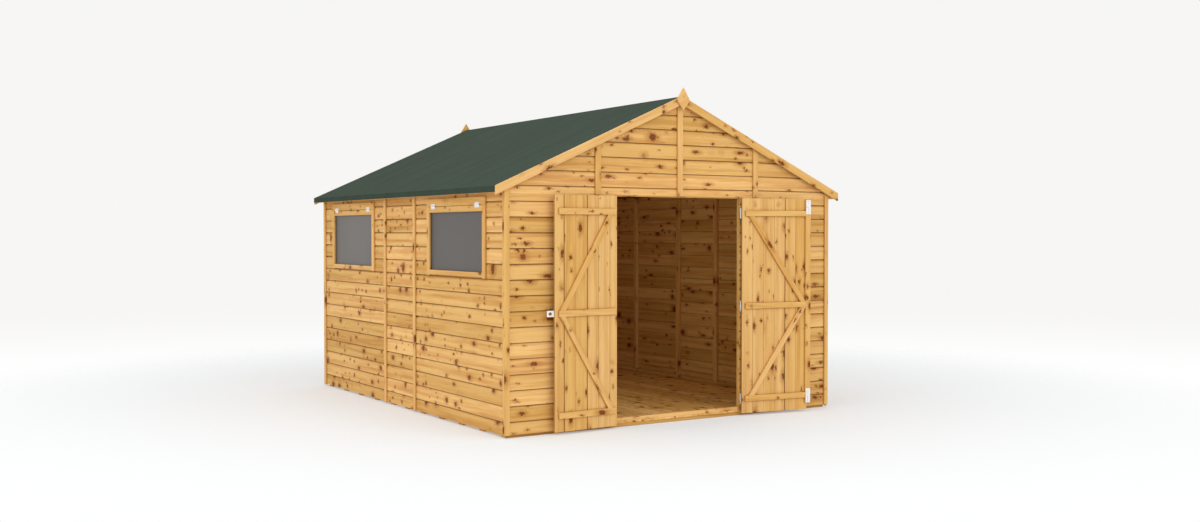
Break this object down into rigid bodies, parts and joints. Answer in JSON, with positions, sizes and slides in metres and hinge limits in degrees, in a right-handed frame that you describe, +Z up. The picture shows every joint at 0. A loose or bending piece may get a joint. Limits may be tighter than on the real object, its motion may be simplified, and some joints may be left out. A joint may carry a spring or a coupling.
{
  "type": "workshop shed",
  "caption": "Timber workshop shed with an apex felt roof, shiplap walls, open ledged and braced double doors and top-hung side windows.",
  "frame": {"origin": "middle of the bounding box on the ground, with the doors standing open as at rest", "axes": "+X to the right along the front gable, +Y from the front doors to the back wall, +Z up"},
  "size_m": [3.154, 3.76, 2.5159],
  "materials": {
    "cladding": "dip-treated honey pine",
    "trim": "dip-treated pale pine",
    "framing": "rough sawn pine",
    "boards": "sawn pine",
    "felt": "mineral felt",
    "glass": "clear",
    "zinc": "zinc plated",
    "white_metal": "pale coated"
  },
  "bodies": {
    "shed": {"floor_bearers": "framing", "floor_boards": "boards", "threshold": "framing", "front_wall_left": "cladding", "front_wall_right": "cladding", "front_gable": "cladding", "back_wall": "cladding", "left_wall_front": "cladding", "left_wall_middle": "cladding", "left_wall_back": "cladding", "right_wall_front": "cladding", "right_wall_middle": "cladding", "right_wall_back": "cladding", "front_studs": "framing", "back_studs": "framing", "side_studs": "framing", "wall_rails": "framing", "gable_rafters": "framing", "corner_strips": "trim", "side_strips": "trim", "gable_strips": "trim", "roof_boards_left": "boards", "roof_boards_right": "boards", "roof_rails": "framing", "roof_felt": "felt", "bargeboards_front": "trim", "bargeboards_back": "trim", "finials": "trim", "window_frames": "trim", "window_sashes": "trim", "window_panes": "glass", "window_hinges": "white_metal", "jamb_hinges": "zinc"},
    "left_door": {"left_door_boards": "cladding", "left_door_ledges": "trim", "left_door_braces": "trim", "left_door_hinges": "zinc", "left_door_hasp": "zinc"},
    "right_door": {"right_door_boards": "cladding", "right_door_ledges": "trim", "right_door_braces": "trim", "right_door_cover": "trim", "right_door_bolts": "white_metal", "right_door_hinges": "zinc", "right_door_staple": "zinc"}
  },
  "joints": [
    {"name": "left_door_hinge", "type": "hinge", "parent": "shed", "child": "left_door", "pos_m": [-0.5805, -1.75895, 0.857], "axis": [0, 0, 1], "range_deg": [-3.5, 176.5]},
    {"name": "right_door_hinge", "type": "hinge", "parent": "shed", "child": "right_door", "pos_m": [0.5805, -1.75895, 0.857], "axis": [0, 0, -1], "range_deg": [-2, 173]}
  ]
}
